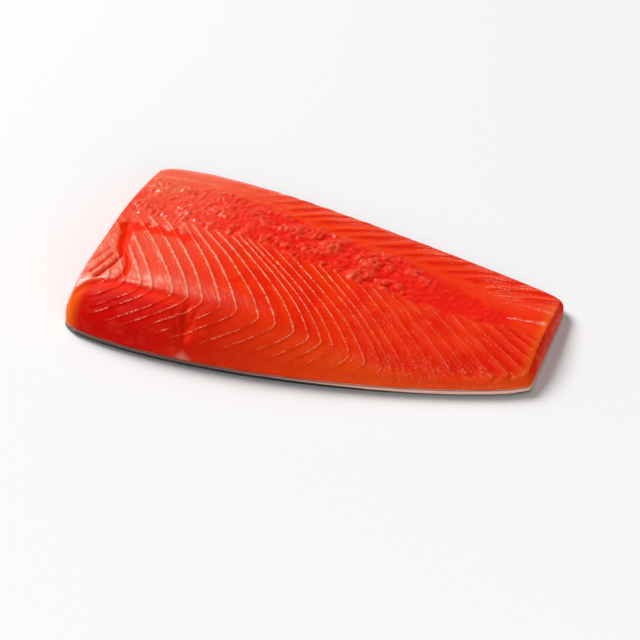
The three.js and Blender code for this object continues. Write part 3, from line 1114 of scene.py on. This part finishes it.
class FleshLook(bpy.types.PropertyGroup):
    """Sizes and colours of the flesh."""

    flake_step: length_property("Flake step", "Height from one flake down to the next", 0.00025)
    strip_roughness: length_property("Strip roughness", "Height of the torn lumps", 0.0014)
    fat_line_width: length_property("Fat line width", "Width of the lines between flakes", 0.0008)
    body: colour_property("Body", "Orange flesh of the back half", 255, 56, 0)
    body_tail: colour_property("Tail body", "Redder flesh towards the tail cut", 250, 60, 20)
    # Deep flesh is the flesh's own darker patches, and is also painted as shade in the furrows below the
    # flakes.
    deep: colour_property("Deep flesh", "Darker flesh in furrows and patches", 232, 18, 0)
    belly: colour_property("Belly half", "Flesh past the backbone line", 255, 62, 12)
    belly_tail: colour_property("Tail belly half", "The same towards the tail cut", 252, 56, 18)
    strip: colour_property("Torn strip", "Torn flesh along the backbone line", 255, 60, 34)
    # Painted shade: the darker colour of the strip's low places.
    hollow_shade: colour_property("Hollows", "Flesh low in the torn strip", 250, 26, 8)
    # Coral is the flesh's paler tone, and is also painted as sheen over the headward top and as
    # highlights on the strip's lumps.
    coral_and_highlight: colour_property("Coral", "Paler flesh towards the head cut", 244, 100, 66)
    flank: colour_property("Flank", "Deep red back flank, towards the head", 218, 12, 6)
    flank_tail: colour_property("Tail flank", "Back flank, towards the tail", 255, 84, 16)
    # Painted shade: the colour laid into creases, the trench and below the shoulder's lip.
    crease: colour_property("Crease", "Saturated flesh inside the creases", 250, 40, 0)
    cut_face: colour_property("Cut face", "Flesh on the two knife cuts", 246, 66, 34)
    # Painted glow: the brighter orange laid on thin flesh at the cuts.
    painted_glow: colour_property("Thin rim", "Thin flesh that light shines through", 255, 112, 20)
    # The fat colour is also laid on as the painted sheen and the painted glints.
    fat: colour_property("Fat lines", "Fat between the flakes", 255, 194, 162)
    fat_margin: colour_property("Fat margin", "Fat that shows at the dent and the skin", 238, 172, 152)


class SkinLook(bpy.types.PropertyGroup):
    """Colours of the skin and its lining."""

    back: colour_property("Back", "Skin along the back", 26, 22, 21)
    side: colour_property("Side", "Silver skin below the back", 128, 130, 134)
    belly: colour_property("Belly", "Pale skin at the belly edge", 196, 196, 192)
    spots: colour_property("Spots", "Dark spots of the back", 24, 24, 26)
    fat_head: colour_property("Lining, head", "Fat lining towards the head cut", 150, 104, 94)
    fat_tail: colour_property("Lining, tail", "Fat lining towards the tail cut", 246, 190, 172)


def strength_property(name, description, default, unit="NONE"):
    return bpy.props.FloatProperty(
        name=name, description=description, min=0, default=default, unit=unit
    )


class StageLook(bpy.types.PropertyGroup):
    """The table and the light."""

    table: colour_property("Table", "Surface that the fillet lies on", 249, 249, 249)
    key_power: strength_property("Key light", "Strength of the sun-like key light", 2.7)
    sheen_power: strength_property("Window light", "Power of the window behind", 6.0, "POWER")
    card_power: strength_property("Card", "Power of the soft light from the front", 6.4, "POWER")
    fill: strength_property("Fill", "Strength of the even light from all round", 0.17)


# ---- Operators ----


class FILLET_OT_flesh(bpy.types.Operator):
    """Model the flesh, with its flakes, torn strip, creases and dent"""

    bl_idname = "fillet.flesh"
    bl_label = "Add flesh"

    def execute(self, context):
        look = context.scene.fillet_flesh
        noise.seed_set(STRIP_SEED)
        mesh = lattice(FLESH_CELLS)
        ring = [edge for edge in mesh.edges if edge.is_boundary]
        for level in WALL_LEVELS:
            ring = let_down(mesh, ring, level)
        for turn in range(len(UNDER_INSETS)):
            ring = let_down(mesh, ring, -1.0 - turn)
        bottom = bmesh.ops.edgeloop_fill(mesh, edges=ring)["faces"]
        bmesh.ops.triangulate(mesh, faces=bottom)
        piece = finished_piece(mesh, "flesh_fine", flesh_shape(look))
        piece.data.materials.append(flesh_material(look))
        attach(piece, "root")
        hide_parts("flesh")
        return {"FINISHED"}


class FILLET_OT_skin(bpy.types.Operator):
    """Model the skin and its pale fat lining"""

    bl_idname = "fillet.skin"
    bl_label = "Add skin"

    def execute(self, context):
        mesh = lattice(SKIN_CELLS)
        sheet = mesh.faces[:] + mesh.edges[:] + mesh.verts[:]
        made = bmesh.ops.extrude_face_region(mesh, geom=sheet)["geom"]
        below = [item for item in made if isinstance(item, bmesh.types.BMVert)]
        bmesh.ops.translate(mesh, vec=(0, 0, -1), verts=below)
        upright = [edge for edge in mesh.edges if edge.verts[0].co.z != edge.verts[1].co.z]
        bmesh.ops.subdivide_edges(mesh, edges=upright, cuts=SKIN_CUTS, use_grid_fill=True)
        piece = finished_piece(mesh, "skin_fine", skin_shape())
        piece.data.materials.append(skin_material(context.scene.fillet_skin))
        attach(piece, "root")
        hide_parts("skin")
        return {"FINISHED"}


class FILLET_OT_stage(bpy.types.Operator):
    """Set the table, the soft studio light and the camera"""

    bl_idname = "fillet.stage"
    bl_label = "Add stage"

    def execute(self, context):
        look = context.scene.fillet_stage
        add_table(look)
        add_lights(look)
        add_camera()
        context.scene.view_settings.view_transform = "Standard"
        return {"FINISHED"}


# ---- Stage ----

VIEW_AZIMUTH = math.radians(20)
VIEW_SPAN = math.radians(17)
SENSOR_WIDTH = 36.0
TABLE_REACH = 4.0
KEY = {"place": (-1.0, 0.9, 1.15), "size": math.radians(28)}
WINDOW = {"place": (-0.75, 0.9, 0.85), "size": (0.7, 0.6)}
CARD = {"place": (0.25, -1.3, 0.5), "size": (1.0, 0.6)}
EYE = Vector((0.25934, -0.71571, 0.59167))
EYE_TARGET = Vector((0.01007, -0.03083, 0.0140))


def seen(right, away, up):
    """A place given as metres to the right of, away from and above the eye's view of the middle."""
    turn = Matrix.Rotation(VIEW_AZIMUTH, 3, "Z")
    return turn @ Vector((right, away, up))


def aimed(location, target):
    """A matrix at a location whose own -Z axis points at a target."""
    turn = (target - location).to_track_quat("-Z", "Y")
    return Matrix.LocRotScale(location, turn, None)


def add_table(look):
    mesh = bmesh.new()
    bmesh.ops.create_grid(mesh, x_segments=1, y_segments=1, size=TABLE_REACH)
    data = bpy.data.meshes.new("table")
    mesh.to_mesh(data)
    mesh.free()
    data.materials.append(table_material(look))
    table = add_object("table", data)


def add_light(name, kind, power, place, size):
    light = bpy.data.lights.new(name, kind)
    light.energy = power
    if kind == "SUN":
        light.angle = size
    else:
        light.shape = "RECTANGLE"
        light.size, light.size_y = size
    add_object(name, light).matrix_world = aimed(seen(*place), Vector())


def add_lights(look):
    add_light("key", "SUN", look.key_power, **KEY)
    add_light("window", "AREA", look.sheen_power, **WINDOW)
    add_light("card", "AREA", look.card_power, **CARD)
    world = bpy.data.worlds.new("studio")
    world.use_nodes = True
    background = world.node_tree.nodes["Background"]
    background.inputs["Color"].default_value = (1, 1, 1, 1)
    background.inputs["Strength"].default_value = look.fill
    bpy.context.scene.world = world


def add_camera():
    data = bpy.data.cameras.new("camera")
    data.sensor_width = SENSOR_WIDTH
    data.lens = SENSOR_WIDTH / 2 / math.tan(VIEW_SPAN / 2)
    camera = add_object("camera", data)
    camera.matrix_world = aimed(EYE, EYE_TARGET)
    bpy.context.scene.camera = camera


# ---- Panel and registration ----


class FILLET_PT_panel(bpy.types.Panel):
    """Lists the pieces and what can be changed about them"""

    bl_label = "Raw salmon fillet"
    bl_idname = "FILLET_PT_panel"
    bl_space_type = "VIEW_3D"
    bl_region_type = "UI"
    bl_category = "Fillet"

    def draw(self, context):
        for operator, group in PANEL_ROWS:
            box = self.layout.box()
            box.operator(operator.bl_idname)
            look = getattr(context.scene, group)
            for name in look.__annotations__:
                box.prop(look, name)


PANEL_ROWS = (
    (FILLET_OT_flesh, "fillet_flesh"),
    (FILLET_OT_skin, "fillet_skin"),
    (FILLET_OT_stage, "fillet_stage"),
)
LOOKS = {"fillet_flesh": FleshLook, "fillet_skin": SkinLook, "fillet_stage": StageLook}
CLASSES = (*LOOKS.values(), FILLET_OT_flesh, FILLET_OT_skin, FILLET_OT_stage, FILLET_PT_panel)


def register():
    for item in CLASSES:
        bpy.utils.register_class(item)
    for name, look in LOOKS.items():
        setattr(bpy.types.Scene, name, bpy.props.PointerProperty(type=look))


def unregister():
    for name in LOOKS:
        delattr(bpy.types.Scene, name)
    for item in reversed(CLASSES):
        bpy.utils.unregister_class(item)


def main():
    register()
    bpy.ops.fillet.flesh()
    bpy.ops.fillet.skin()
    bpy.ops.fillet.stage()
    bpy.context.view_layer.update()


if __name__ == "__main__":
    main()
